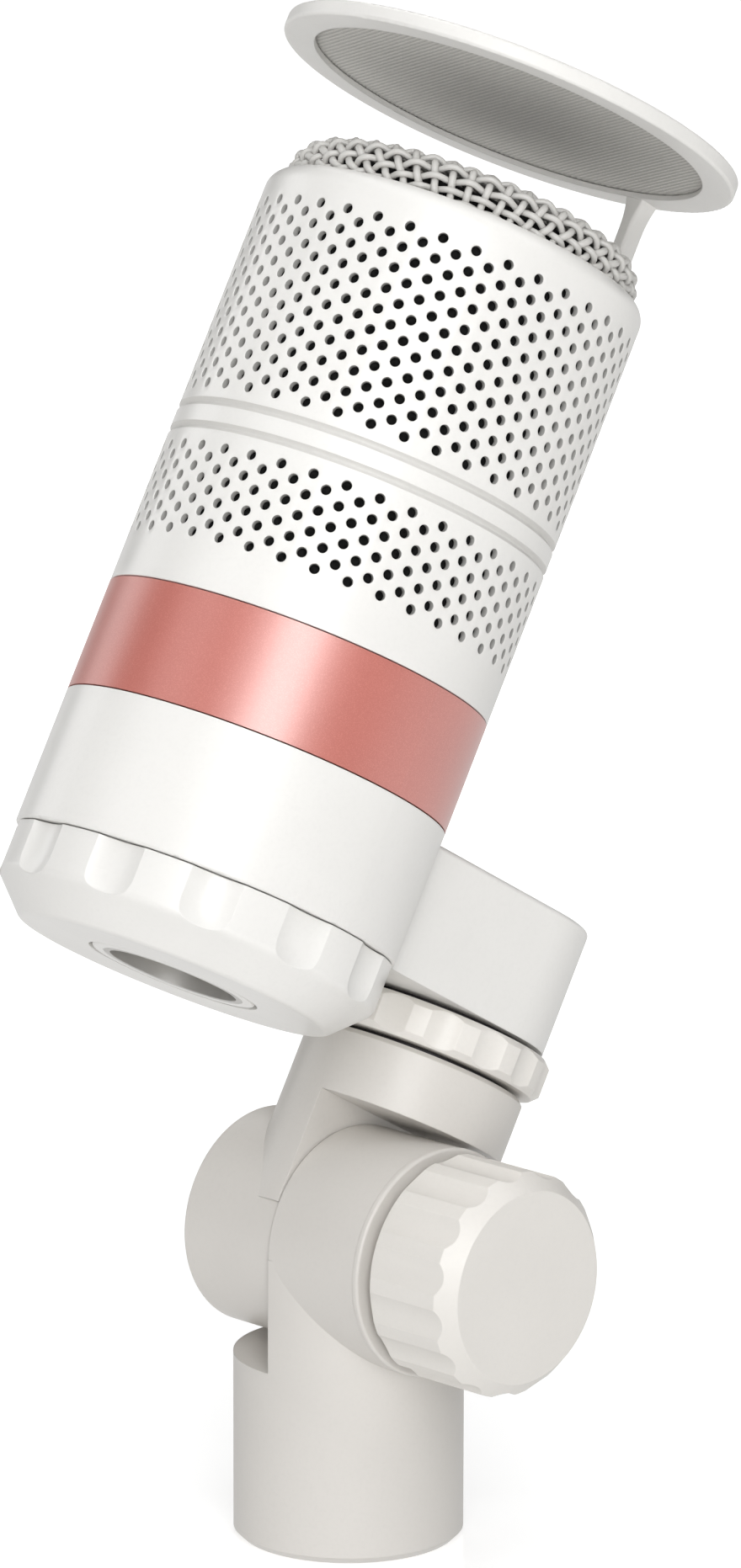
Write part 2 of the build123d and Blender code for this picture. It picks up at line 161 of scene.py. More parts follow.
# ---------------------------------------------------------------- material nodes
class Nodes:
    """Short ways to add and join the nodes of one material."""

    def __init__(self, name):
        """A new material, with the place on the piece, in metres, as its texture coordinate."""
        self.material = bpy.data.materials.new(name)
        self.material.use_nodes = True
        self.tree = self.material.node_tree
        self.shader = self.tree.nodes["Principled BSDF"]
        self.place = self.tree.nodes.new("ShaderNodeTexCoord").outputs["Object"]

    def add(self, kind, inputs=None, **settings):
        node = self.tree.nodes.new(kind)
        for key, value in settings.items():
            setattr(node, key, value)
        for key, value in (inputs or {}).items():
            self.put(node.inputs[key], value)
        return node

    def put(self, socket, value):
        """Link another node's output to a socket, or set the socket's value."""
        if isinstance(value, bpy.types.NodeSocket):
            self.tree.links.new(value, socket)
        else:
            socket.default_value = value

    def noise(self, scale, detail=2.0, roughness=0.5, vector=None):
        node = self.add("ShaderNodeTexNoise", {"Scale": scale, "Detail": detail, "Roughness": roughness})
        self.put(node.inputs["Vector"], vector or self.place)
        return node.outputs["Fac"]

    def spread(self, value, low, high, start=0.3, end=0.7):
        """A value in start..end spread over low..high, and held at its ends outside."""
        node = self.add("ShaderNodeMapRange", {"Value": value, "From Min": start, "From Max": end})
        node.inputs["To Min"].default_value = low
        node.inputs["To Max"].default_value = high
        return node.outputs["Result"]

    def blend(self, factor, first, second):
        node = self.add("ShaderNodeMix", data_type="RGBA")
        for socket, value in ((0, factor), (6, first), (7, second)):
            self.put(node.inputs[socket], value)
        return node.outputs[2]

    def bump(self, height, distance, strength=1.0, normal=None):
        node = self.add("ShaderNodeBump", {"Height": height, "Distance": distance, "Strength": strength})
        if normal is not None:
            self.put(node.inputs["Normal"], normal)
        return node.outputs["Normal"]

    def edge_factor(self, radius):
        """A factor of 1 on sharp edges and 0 on open faces, and the normal rounded over the edges."""
        soft = self.add("ShaderNodeBevel", {"Radius": radius}, samples=4)
        true = self.add("ShaderNodeNewGeometry")
        dot = self.add("ShaderNodeVectorMath", operation="DOT_PRODUCT")
        self.put(dot.inputs[0], soft.outputs["Normal"])
        self.put(dot.inputs[1], true.outputs["Normal"])
        return self.spread(dot.outputs["Value"], 1.0, 0.0, 0.86, 0.995), soft.outputs["Normal"]


def grey(value):
    return (value, value, value, 1.0)


def tone(colour, factor):
    return tuple(channel * factor for channel in colour) + (1.0,)


def painted(
    name, colour, roughness, coat=0.0, specular=0.5, grain=2400.0, grain_depth=0.000012, edge=0.00025
):
    """Sprayed paint on a casting: soft tone drift, fine specks, orange peel and uneven edges painted
    lighter, partly as wear and partly as a painted highlight.
    """
    n = Nodes(name)
    drift = n.spread(n.noise(34.0, 3.0), 0.0, 1.0)
    base = n.blend(drift, tone(colour, 0.965), tone(colour, 1.02))
    speck = n.spread(n.noise(1500.0, 2.0, 0.6), 0.0, 0.35, 0.45, 0.8)
    base = n.blend(speck, base, tone(colour, 0.93))
    edges, soft_normal = n.edge_factor(edge)
    # Lighter edges: partly rubbed paint, partly a painted highlight along the crests.
    worn_and_highlit = n.blend(n.spread(n.noise(260.0, 4.0, 0.6), 0.0, 1.0, 0.38, 0.62), base, tone(colour, 1.08))
    base = n.blend(edges, base, worn_and_highlit)
    n.put(n.shader.inputs["Base Color"], base)
    uneven_gloss = n.spread(n.noise(150.0, 4.0, 0.6), roughness - 0.045, roughness + 0.045)
    n.put(n.shader.inputs["Roughness"], uneven_gloss)
    peel = n.bump(n.noise(grain, 2.0, 0.5), grain_depth, 0.55, soft_normal)
    wave = n.bump(n.noise(210.0, 1.0), 0.00003, 0.35, peel)
    n.put(n.shader.inputs["Normal"], wave)
    n.shader.inputs["Specular IOR Level"].default_value = specular
    n.shader.inputs["Coat Weight"].default_value = coat
    n.shader.inputs["Coat Roughness"].default_value = 0.16
    return n.material


def pearl(name, colour, glint):
    """Pearl lacquer: fine flakes that tilt the surface, under a clear coat."""
    n = Nodes(name)
    cells = n.add("ShaderNodeTexVoronoi", {"Scale": 11000.0}, feature="F1")
    n.put(cells.inputs["Vector"], n.place)
    flake = n.add("ShaderNodeSeparateColor")
    n.put(flake.inputs["Color"], cells.outputs["Color"])
    lit = n.spread(flake.outputs["Red"], 0.0, 0.4, 0.6, 1.0)
    drift = n.spread(n.noise(60.0, 3.0), 0.0, 1.0)
    base = n.blend(drift, tone(colour, 0.95), tone(colour, 1.03))
    n.put(n.shader.inputs["Base Color"], n.blend(lit, base, tone(glint, 1.0)))
    n.put(n.shader.inputs["Roughness"], n.spread(flake.outputs["Green"], 0.44, 0.54, 0.0, 1.0))
    edges, soft_normal = n.edge_factor(0.00018)
    tilt = n.bump(flake.outputs["Blue"], 0.000006, 0.5, soft_normal)
    n.put(n.shader.inputs["Normal"], n.bump(n.noise(900.0, 3.0, 0.6), 0.000006, 0.5, tilt))
    n.shader.inputs["Metallic"].default_value = 0.12
    n.shader.inputs["Coat Weight"].default_value = 1.0
    n.shader.inputs["Coat IOR"].default_value = 2.2
    n.shader.inputs["Coat Roughness"].default_value = 0.34
    return n.material


def moulded(name, colour, roughness, grain=1800.0, depth=0.00002):
    """Moulded plastic or rubber with a fine spark-eroded grain."""
    n = Nodes(name)
    drift = n.spread(n.noise(70.0, 3.0), 0.0, 1.0)
    base = n.blend(drift, tone(colour, 0.93), tone(colour, 1.05))
    edges, soft_normal = n.edge_factor(0.0002)
    # Painted highlight: sharp edges are made lighter.
    base = n.blend(edges, base, tone(colour, 1.12))
    n.put(n.shader.inputs["Base Color"], base)
    n.put(n.shader.inputs["Roughness"], n.spread(n.noise(320.0, 3.0), roughness - 0.06, roughness + 0.06))
    n.put(n.shader.inputs["Normal"], n.bump(n.noise(grain, 3.0, 0.6), depth, 0.6, soft_normal))
    return n.material


def machined(name, colour, roughness, metallic=1.0, rings=1400.0):
    """Turned or cast metal: faint tool rings, smudges and edges painted brighter as a highlight."""
    n = Nodes(name)
    smudge = n.spread(n.noise(110.0, 4.0, 0.6), 0.0, 1.0)
    base = n.blend(smudge, tone(colour, 0.86), tone(colour, 1.05))
    edges, soft_normal = n.edge_factor(0.0002)
    # Painted highlight: sharp edges are made brighter.
    base = n.blend(edges, base, tone(colour, 1.2))
    n.put(n.shader.inputs["Base Color"], base)
    uneven_gloss = n.spread(n.noise(420.0, 4.0, 0.6), roughness - 0.07, roughness + 0.08)
    n.put(n.shader.inputs["Roughness"], uneven_gloss)
    wave = n.add("ShaderNodeTexWave", {"Scale": rings, "Distortion": 0.4}, wave_type="RINGS")
    n.put(wave.inputs["Vector"], n.place)
    n.put(n.shader.inputs["Normal"], n.bump(wave.outputs["Fac"], 0.000004, 0.5, soft_normal))
    n.shader.inputs["Metallic"].default_value = metallic
    return n.material


def open_foam(name, colour):
    """Open-cell foam: small pores painted dark as shade between matt struts."""
    n = Nodes(name)
    cells = n.add("ShaderNodeTexVoronoi", {"Scale": 1500.0}, feature="SMOOTH_F1")
    n.put(cells.inputs["Vector"], n.place)
    pore = n.spread(cells.outputs["Distance"], 0.0, 1.0, 0.15, 0.6)
    # Painted shade: the pores are darkened and the struts made lighter.
    n.put(n.shader.inputs["Base Color"], n.blend(pore, tone(colour, 0.4), tone(colour, 1.6)))
    n.put(n.shader.inputs["Roughness"], n.spread(n.noise(600.0), 0.9, 1.0))
    n.put(n.shader.inputs["Normal"], n.bump(cells.outputs["Distance"], 0.0002, 0.9))
    n.shader.inputs["Specular IOR Level"].default_value = 0.2
    return n.material


def ribbed_cloth(name, colour):
    """Fine ribbed cloth: the grooves between ribs are painted darker as shade, and no two threads are quite
    alike.
    """
    n = Nodes(name)
    rib = n.add("ShaderNodeAttribute", attribute_name="rib").outputs["Fac"]
    threads = n.add("ShaderNodeTexVoronoi", {"Scale": 3800.0, "Randomness": 0.55}, feature="F1")
    n.put(threads.inputs["Vector"], n.place)
    fibre = n.noise(5200.0, 3.0, 0.7)
    drift = n.spread(n.noise(45.0, 3.0), 0.0, 1.0)
    base = n.blend(drift, tone(colour, 0.94), tone(colour, 1.05))
    # Painted shade: the low grooves between the ribs are darkened.
    base = n.blend(n.spread(rib, 0.85, 0.0, 0.15, 0.85), base, tone(colour, 0.52))
    base = n.blend(n.spread(threads.outputs["Distance"], 0.0, 0.5, 0.3, 0.8), base, tone(colour, 0.62))
    base = n.blend(n.spread(fibre, 0.0, 0.4, 0.4, 0.75), base, tone(colour, 1.2))
    n.put(n.shader.inputs["Base Color"], base)
    n.put(n.shader.inputs["Roughness"], n.spread(fibre, 0.78, 0.95))
    height = n.bump(threads.outputs["Distance"], 0.00005, 0.6)
    n.put(n.shader.inputs["Normal"], n.bump(fibre, 0.00003, 0.5, height))
    n.shader.inputs["Sheen Weight"].default_value = 0.15
    return n.material


WARM_WHITE = (0.84, 0.83, 0.805)
WARM_GREY = (0.695, 0.67, 0.635)
LIGHT_GREY = (0.80, 0.775, 0.735)
FINISHES = {
    "body_paint": painted("body_paint_look", WARM_WHITE, 0.34, coat=0.25),
    "mount_paint": painted("mount_paint_look", WARM_GREY, 0.38, specular=0.45),
    # Painted shade: a mid grey for the bottoms of the shell's grooves.
    "groove_painted_shade": painted("groove_painted_shade_look", (0.70, 0.69, 0.665), 0.4),
    # Painted shade: a dark grey for the hole walls and the shell's inside.
    "hole_painted_shade": painted("hole_painted_shade_look", (0.40, 0.395, 0.38), 0.5),
    # Painted light: a lighter copy of the mount's grey for the two clamp pieces.
    "clamp_lit_copy": painted("clamp_lit_copy_look", LIGHT_GREY, 0.42, coat=0.1),
    "coral_paint": pearl("coral_paint_look", (0.61, 0.162, 0.125), (0.84, 0.34, 0.28)),
    "pop_plastic": painted(
        "pop_plastic_look", (0.80, 0.79, 0.765), 0.4, grain=3000.0, grain_depth=0.000008
    ),
    "pop_fabric": ribbed_cloth("pop_fabric_look", (0.66, 0.645, 0.61)),
    "mesh_wire": painted(
        "mesh_wire_look", (0.60, 0.59, 0.565), 0.38, coat=0.15, grain=5200.0, edge=0.00012
    ),
    "foam": open_foam("foam_look", (0.007, 0.007, 0.007)),
    "black_plastic": moulded("black_plastic_look", (0.02, 0.02, 0.021), 0.5),
    "black_rubber": moulded("black_rubber_look", (0.018, 0.018, 0.018), 0.72, 2600.0, 0.00003),
    "socket_metal": machined("socket_metal_look", (0.60, 0.59, 0.57), 0.42, 0.6),
    "contact_metal": machined("contact_metal_look", (0.80, 0.64, 0.34), 0.26),
    "brass": machined("brass_look", (0.72, 0.55, 0.26), 0.32),
    "steel": machined("steel_look", (0.52, 0.52, 0.53), 0.34),
    "aluminium": machined("aluminium_look", (0.68, 0.68, 0.69), 0.38),
    "board": moulded("board_look", (0.018, 0.09, 0.045), 0.35, 900.0),
    "magnet": machined("magnet_look", (0.40, 0.40, 0.42), 0.28),
    "copper": machined("copper_look", (0.78, 0.38, 0.22), 0.3, 1.0, 4200.0),
    "film": moulded("film_look", (0.62, 0.60, 0.52), 0.22),
    "lead_cover": moulded("lead_cover_look", (0.45, 0.03, 0.025), 0.45),
}

LIGHTER = ("tilt_knob", "lock_ring")    # the two clamp pieces take a lighter copy of the mount's grey: painted light on the same paint


def finish_nodes():
    """Give each CAD node the finish of its material slot."""
    for name, node in NODES.items():
        for place, material in enumerate(list(node.data.materials)):
            # painted light: the clamp pieces take the lighter copy of the mount's paint
            slot = "clamp_lit_copy" if name in LIGHTER else material.name
            node.data.materials[place] = FINISHES[slot]


finish_nodes()


# ---------------------------------------------------------------- mesh helpers
def make_piece(name, points, faces, body, slot, sharp=35.0, weld=1e-4, stands_for=()):
    """One finished piece from millimetre points in the microphone's frame.

    Points closer than weld are joined, and edges sharper than sharp degrees stay crisp.
    """
    mesh = bpy.data.meshes.new(name)
    mesh.from_pydata([tuple(point) for point in points], [], [tuple(face) for face in faces])
    shape = bmesh.new()
    shape.from_mesh(mesh)
    if weld:
        bmesh.ops.remove_doubles(shape, verts=shape.verts, dist=weld)
    bmesh.ops.recalc_face_normals(shape, faces=shape.faces)
    shape.to_mesh(mesh)
    shape.free()
    mesh.transform(MIC)
    mesh.shade_smooth()
    mesh.set_sharp_from_angle(angle=radians(sharp))
    mesh.materials.append(FINISHES[slot])
    piece = bpy.data.objects.new(name, mesh)
    bpy.context.scene.collection.objects.link(piece)
    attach(piece, body)
    if stands_for:
        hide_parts(*stands_for)
    return piece


def lathe(profile, angles, closed=True):
    """Points and quads of a profile of (radius, height) turned about Z through the given angles."""
    points = [(r * cos(t), r * sin(t), z) for r, z in profile for t in angles]
    count = len(angles)
    rows = len(profile) if closed else len(profile) - 1
    faces = []
    for row in range(rows):
        low, high = row * count, (row + 1) % len(profile) * count
        for k in range(count):
            after = (k + 1) % count
            faces.append((low + k, low + after, high + after, high + k))
    return points, faces


def arc(centre, radius, start, end, steps):
    """Points of a profile arc about centre, from start to end degrees."""
    turns = [radians(start + (end - start) * i / steps) for i in range(steps + 1)]
    return [(centre[0] + radius * cos(t), centre[1] + radius * sin(t)) for t in turns]


def add_part(points, faces, part):
    """Append a part's points and faces to the lists of a bigger mesh."""
    more_points, more_faces = part
    start = len(points)
    points.extend(more_points)
    faces.extend(tuple(start + k for k in face) for face in more_faces)


# ---------------------------------------------------------------- perforated body shell
CELL = radians(HOLE_STEP / 4)               # a cell reaches this far to each side of its hole
SHELL_ANGLES = [radians(HOLE_PHASE) + CELL * k for k in range(round(tau / CELL))]


# Corners and edge middles of a cell, in half widths and half heights from its hole.
BORDER = ((1, 0), (1, 1), (0, 1), (-1, 1), (-1, 0), (-1, -1), (0, -1), (1, -1))


def cell_faces():
    """Triangles between a cell's border points and the ring of points round its hole."""
    count = len(BORDER)
    border_turns = [atan2(v * ROW_PITCH, u * SHELL_R * CELL) % tau for u, v in BORDER] + [tau]
    hole_turns = [tau * k / HOLE_SIDES for k in range(HOLE_SIDES)] + [tau]
    faces = []
    i = j = 0
    while i < count or j < HOLE_SIDES:
        on_border, on_hole = i % count, count + j % HOLE_SIDES
        if j >= HOLE_SIDES or (i < count and border_turns[i + 1] <= hole_turns[j + 1]):
            faces.append((on_border, (i + 1) % count, on_hole))
            i += 1
        else:
            faces.append((on_border, count + (j + 1) % HOLE_SIDES, on_hole))
            j += 1
    return faces


def cell_points(radius, turn, height, hole_r):
    """Points of a cell on a cylinder: its border, then the ring round its hole."""
    points = []
    for u, v in BORDER:
        angle = turn + u * CELL
        points.append((radius * cos(angle), radius * sin(angle), height + v * ROW_PITCH))
    for k in range(HOLE_SIDES):
        t = tau * k / HOLE_SIDES
        across = turn + hole_r * cos(t) / SHELL_R
        points.append((radius * cos(across), radius * sin(across), height + hole_r * sin(t)))
    return points


def perforated_field(top, rows):
    """Outer and inner skins of one field of holes, and the holes' walls."""
    points, faces = [], []
    inner = SHELL_R - SHELL_WALL
    triangles = cell_faces()
    rounding = ((HOLE_EDGE * 0.25, HOLE_R + HOLE_EDGE * 0.3), (HOLE_EDGE, HOLE_R))    # (depth, hole radius)
    columns = round(360 / HOLE_STEP) * 2
    for column in range(columns):
        turn = radians(HOLE_PHASE) + 2 * CELL * column
        odd = column % 2
        for row in range(odd, rows, 2):
            height = top - ROW_PITCH * row
            add_part(points, faces, (cell_points(SHELL_R, turn, height, HOLE_R + HOLE_EDGE), triangles))
            outer_ring = len(points) - HOLE_SIDES
            add_part(points, faces, (cell_points(inner, turn, height, HOLE_R), triangles))
            inner_ring = len(points) - HOLE_SIDES
            mid_ring = len(points)
            for depth, radius in rounding:
                points.extend(cell_points(SHELL_R - depth, turn, height, radius)[len(BORDER):])
            rings = (outer_ring, mid_ring, mid_ring + HOLE_SIDES, inner_ring)
            for upper, lower in zip(rings, rings[1:]):
                for k in range(HOLE_SIDES):
                    after = (k + 1) % HOLE_SIDES
                    faces.append((upper + k, upper + after, lower + after, lower + k))
        # Half-height panels close the columns that start or end between two rows.
        ends = [top + ROW_PITCH / 2] if odd else []
        last = odd + (rows - 1 - odd) // 2 * 2
        if last < rows - 1:
            ends.append(top - ROW_PITCH * (rows - 0.5))
        for middle in ends:
            for radius in (SHELL_R, inner):
                strip = [
                    (radius * cos(t), radius * sin(t), middle + v * ROW_PITCH / 2)
                    for v in (-1, 1)
                    for t in (turn - CELL, turn, turn + CELL)
                ]
                add_part(points, faces, (strip, [(0, 1, 4, 3), (1, 2, 5, 4)]))
    return points, faces


def groove(height):
    """Profile of one fine round-bottomed groove."""
    cuts = [-1 + 2 * k / GROOVE_STEPS for k in range(GROOVE_STEPS + 1)]
    return [(SHELL_R - GROOVE_DEPTH * cos(pi / 2 * cut), height + cut * GROOVE_HALF) for cut in cuts]


def in_groove(height):
    """Whether a height lies within one of the grooves."""
    return any(abs(height - middle) < GROOVE_HALF for middle in GROOVES)


def make_body_shell():
    """The whole shell: bands, two fields of holes, grooves and a rounded rim, as one closed skin."""
    inner = SHELL_R - SHELL_WALL
    upper_top = UPPER_FIELD[0] + ROW_PITCH
    upper_low = UPPER_FIELD[0] - ROW_PITCH * UPPER_FIELD[1]
    lower_top = LOWER_FIELD[0] + ROW_PITCH
    lower_low = LOWER_FIELD[0] - ROW_PITCH * LOWER_FIELD[1]
    low_centre = (SHELL_R - SHELL_EDGE, SHELL_BOTTOM + SHELL_EDGE)
    foot = [(inner, lower_low), (inner, SHELL_BOTTOM)] + arc(low_centre, SHELL_EDGE, -90, 0, 4)
    foot += [(SHELL_R, SHELL_BOTTOM + 2.0), (SHELL_R, lower_low)]
    waist = [(SHELL_R, lower_top)] + groove(GROOVES[0]) + groove(GROOVES[1]) + [(SHELL_R, upper_low)]
    rim_centre = (SHELL_R - RIM_FILLET, RIM_START)
    rim_end = degrees(acos((RIM_OPENING_R + RIM_LIP - rim_centre[0]) / RIM_FILLET))
    rim = [(SHELL_R, upper_top)] + arc(rim_centre, RIM_FILLET, 0, rim_end, 14)
    lip_top = rim[-1][1]
    rim += [(RIM_OPENING_R + 0.12, lip_top - 0.03), (RIM_OPENING_R, lip_top - 0.2)]
    rim += [(RIM_OPENING_R, LIP_UNDER), (inner, LIP_UNDER), (inner, upper_top)]
    points, faces = [], []
    for band in (foot, waist, rim, [(inner, upper_low), (inner, lower_top)]):
        add_part(points, faces, lathe(band, SHELL_ANGLES, closed=False))
    for field in (UPPER_FIELD, LOWER_FIELD):
        add_part(points, faces, perforated_field(*field))
    shell = make_piece(
        "perforated_shell", points, faces, "microphone", "body_paint", sharp=28, stands_for=["body_shell"]
    )
    # painted shade inside the holes
    shell.data.materials.append(FINISHES["hole_painted_shade"])
    # painted shade in the grooves
    shell.data.materials.append(FINISHES["groove_painted_shade"])
    # Painted shade: faces sunk below the outer surface take the dark grey, and those at the grooves'
    # heights the mid grey.
    to_mic = MIC.inverted()
    for face in shell.data.polygons:
        x, y, z = to_mic @ face.center
        if hypot(x, y) < SHELL_R - HOLE_EDGE and lower_low < z < LIP_UNDER:
            face.material_index = 2 if in_groove(z) else 1


make_body_shell()


# ---------------------------------------------------------------- woven wire dome
class DomeLine:
    """The dome's profile by arc length from its apex: a gentle crown, a round shoulder and a straight side.

    The inset is how far the line lies inside the dome's outer face.
    """

    def __init__(self, inset):
        self.lean = radians(DOME_LEAN)
        self.shoulder = DOME_SHOULDER - inset
        self.flat_r = DOME_R - DOME_SHOULDER
        self.top = DOME_TOP - inset
        join_r = self.flat_r + self.shoulder * cos(self.lean)
        rise = self.top - DOME_SIDE_TOP - self.shoulder * sin(self.lean)
        self.crown_r = (join_r**2 + rise**2) / (2 * rise)
        self.crown_length = self.crown_r * asin(join_r / self.crown_r)
        self.side_start = self.crown_length + self.shoulder * self.lean
        self.length = self.side_start + DOME_SIDE_TOP - DOME_LOW

    def at(self, along):
        """(radius, height, tilt of the outward normal above the radial direction)."""
        if along < self.crown_length:
            turn = along / self.crown_r
            return self.crown_r * sin(turn), self.top - self.crown_r * (1 - cos(turn)), pi / 2 - turn
        if along < self.side_start:
            tilt = self.lean - (along - self.crown_length) / self.shoulder
            return self.flat_r + self.shoulder * cos(tilt), DOME_SIDE_TOP + self.shoulder * sin(tilt), tilt
        return self.flat_r + self.shoulder, DOME_SIDE_TOP - (along - self.side_start), 0.0


def pressed(flat_r):
    """Arc length on the dome that a point of the flat wire sheet is pressed to."""
    if flat_r <= PRESS_START:
        return flat_r
    return PRESS_START + (1 - np.exp(-PRESS_RATE * (flat_r - PRESS_START))) / PRESS_RATE


def on_dome(line, u, v, lift):
    """Place of a point of the flat sheet on the dome, lifted outward, and the outward normal there."""
    along = pressed(hypot(u, v))
    turn = atan2(v, u) + radians(WEAVE_ANGLE)
    radius, height, tilt = line.at(along)
    normal = np.array((cos(tilt) * cos(turn), cos(tilt) * sin(turn), sin(tilt)))
    return np.array((radius * cos(turn), radius * sin(turn), height)) + normal * lift, normal


def tube_along(path, normals, radius, sides):
    """A closed tube round a path, with its section held square to the path."""
    path = np.array(path)
    ahead = np.gradient(path, axis=0)
    ahead /= np.linalg.norm(ahead, axis=1)[:, None]
    across = np.cross(ahead, np.array(normals))
    across /= np.linalg.norm(across, axis=1)[:, None]
    up = np.cross(across, ahead)
    points = []
    for k in range(sides):
        t = tau * k / sides
        points.append(path + radius * (cos(t) * across + sin(t) * up))
    points = np.stack(points, axis=1).reshape(-1, 3)
    faces = []
    for row in range(len(path) - 1):
        for k in range(sides):
            after = (k + 1) % sides
            low, high = row * sides, (row + 1) * sides
            faces.append((low + k, low + after, high + after, high + k))
    last = (len(path) - 1) * sides
    faces.append(tuple(range(sides)))
    faces.append(tuple(last + k for k in reversed(range(sides))))
    return [tuple(point) for point in points], faces


def make_wires(name, wire_r, crimp, upright, stands_for=()):
    """One of the two sets of wires: each runs over and under the other set in turn.

    On the flat sheet the upright set runs along its second direction, and the other set along its first.
    """
    line = DomeLine(inset=ACROSS_WIRE_R + CRIMP_ACROSS)
    reach = PRESS_START - log(1 - PRESS_RATE * (line.length - PRESS_START)) / PRESS_RATE
    own_shift, other_shift = WEAVE_SHIFT if upright else reversed(WEAVE_SHIFT)
    points, faces = [], []
    count = int(reach / WIRE_PITCH)
    for index in range(-count, count + 1):
        offset = (index + own_shift) * WIRE_PITCH
        if abs(offset) >= reach - WIRE_PITCH / 2:
            continue
        half = sqrt(reach**2 - offset**2)
        steps = max(4, int(2 * half / WIRE_PITCH * STEPS_PER_PITCH))
        path, normals = [], []
        for k in range(steps + 1):
            run = -half + 2 * half * k / steps
            lift = crimp * cos(pi * (run / WIRE_PITCH - other_shift + index))
            u, v = (offset, run) if upright else (run, offset)
            place, normal = on_dome(line, u, v, lift)
            path.append(place)
            normals.append(normal)
        add_part(points, faces, tube_along(path, normals, wire_r, WIRE_SIDES))
    make_piece(name, points, faces, "microphone", "mesh_wire", sharp=60, weld=0, stands_for=stands_for)


make_wires("dome_wires_across", ACROSS_WIRE_R, CRIMP_ACROSS, upright=True, stands_for=["mesh_dome"])
make_wires("dome_wires_along", ALONG_WIRE_R, -CRIMP_ALONG, upright=False)


# ---------------------------------------------------------------- foam behind the holes and the wires
def uneven(seed, spots, scale):
    """A smooth random height field made of a few waves, the same at every run."""
    rng = np.random.default_rng(seed)
    waves = rng.normal(size=(spots, 3)) * scale
    shifts = rng.uniform(0, tau, spots)
    return lambda place: float(np.mean(np.sin(waves @ np.array(place) + shifts)))


def make_foam_sleeve():
    """Foam tube behind the holes, slightly uneven as cut foam is."""
    rough = uneven(11, 24, 1.6)
    angles = [tau * k / 180 for k in range(180)]
    rows = 60
    profile = [(FOAM_R, FOAM_LOW + (FOAM_COLLAR_TOP - FOAM_LOW) * k / rows) for k in range(rows + 1)]
    profile += [(FOAM_COLLAR_R, FOAM_COLLAR_TOP), (FOAM_COLLAR_R, FOAM_HIGH)]
    profile += [(FOAM_INNER_R, FOAM_HIGH), (FOAM_INNER_R, FOAM_LOW)]
    points, faces = lathe(profile, angles)
    outer = len(angles) * (rows + 1)
    moved = []
    for k, (x, y, z) in enumerate(points):
        swell = 1 - (FOAM_SHRINK + FOAM_WAVE * rough((x, y, z)) if k < outer else 0)
        moved.append((x * swell, y * swell, z))
    sleeve = make_piece(
        "foam_sleeve", moved, faces, "microphone", "foam", sharp=60, stands_for=["foam_liner"]
    )


def make_foam_dome():
    """Foam pad under the wires, following the dome."""
    line = DomeLine(inset=PAD_INSET)
    rough = uneven(12, 24, 1.5)
    angles = [tau * k / 144 for k in range(144)]
    rows = 52
    top = []
    for k in range(1, rows + 1):
        radius, height, _ = line.at(line.length * PAD_SHARE * k / rows)
        top.append((radius, height))
    rim_r, low = top[-1]
    profile = top + [(rim_r - PAD_HOLLOW, low), (rim_r - PAD_HOLLOW - 2.0, low + PAD_HOLLOW)]
    points, faces = lathe(profile, angles, closed=False)
    points = [(x, y, z - PAD_SINK + PAD_WAVE * rough((x, y, z))) for x, y, z in points]
    points += [(0, 0, line.top - PAD_SINK), (0, 0, low + PAD_HOLLOW)]
    last = (len(profile) - 1) * len(angles)
    for k in range(len(angles)):
        after = (k + 1) % len(angles)
        faces.append((k, after, len(points) - 2))
        faces.append((last + k, last + after, len(points) - 1))
    pad = make_piece("foam_dome", points, faces, "microphone", "foam", sharp=60, stands_for=["dome_foam"])


make_foam_sleeve()
make_foam_dome()


# ---------------------------------------------------------------- pop filter
def make_pop_fabric():
    """Ribbed cloth stretched flat across the pop filter's ring."""
    turn = radians(RIB_ANGLE)
    run = np.array((cos(turn), sin(turn)))
    over = np.array((-sin(turn), cos(turn)))
    columns = int(2 * FABRIC_R / RIB_PITCH * STEPS_PER_RIB)
    widest = FABRIC_R * 0.9995      # the outermost column keeps a little length
    points, faces = [], []
    for i in range(columns + 1):
        w = widest * (-1 + 2 * i / columns)
        half = sqrt(FABRIC_R**2 - w**2)
        lift = RIB_HEIGHT * cos(tau * w / RIB_PITCH)
        for j in range(FABRIC_ROWS + 1):
            place = over * w + run * half * (-1 + 2 * j / FABRIC_ROWS)
            points.append((place[0], place[1], FABRIC_HEIGHT + lift))
    for i in range(columns):
        for j in range(FABRIC_ROWS):
            low = i * (FABRIC_ROWS + 1) + j
            high = low + FABRIC_ROWS + 1
            faces.append((low, low + 1, high + 1, high))
    cloth = make_piece(
        "pop_cloth", points, faces, "pop_filter", "pop_fabric", sharp=80, weld=0, stands_for=["pop_screen"]
    )
    rib = cloth.data.attributes.new("rib", "FLOAT", "POINT")
    for k in range(len(points)):
        rib.data[k].value = 0.5 + 0.5 * (points[k][2] - FABRIC_HEIGHT) / RIB_HEIGHT


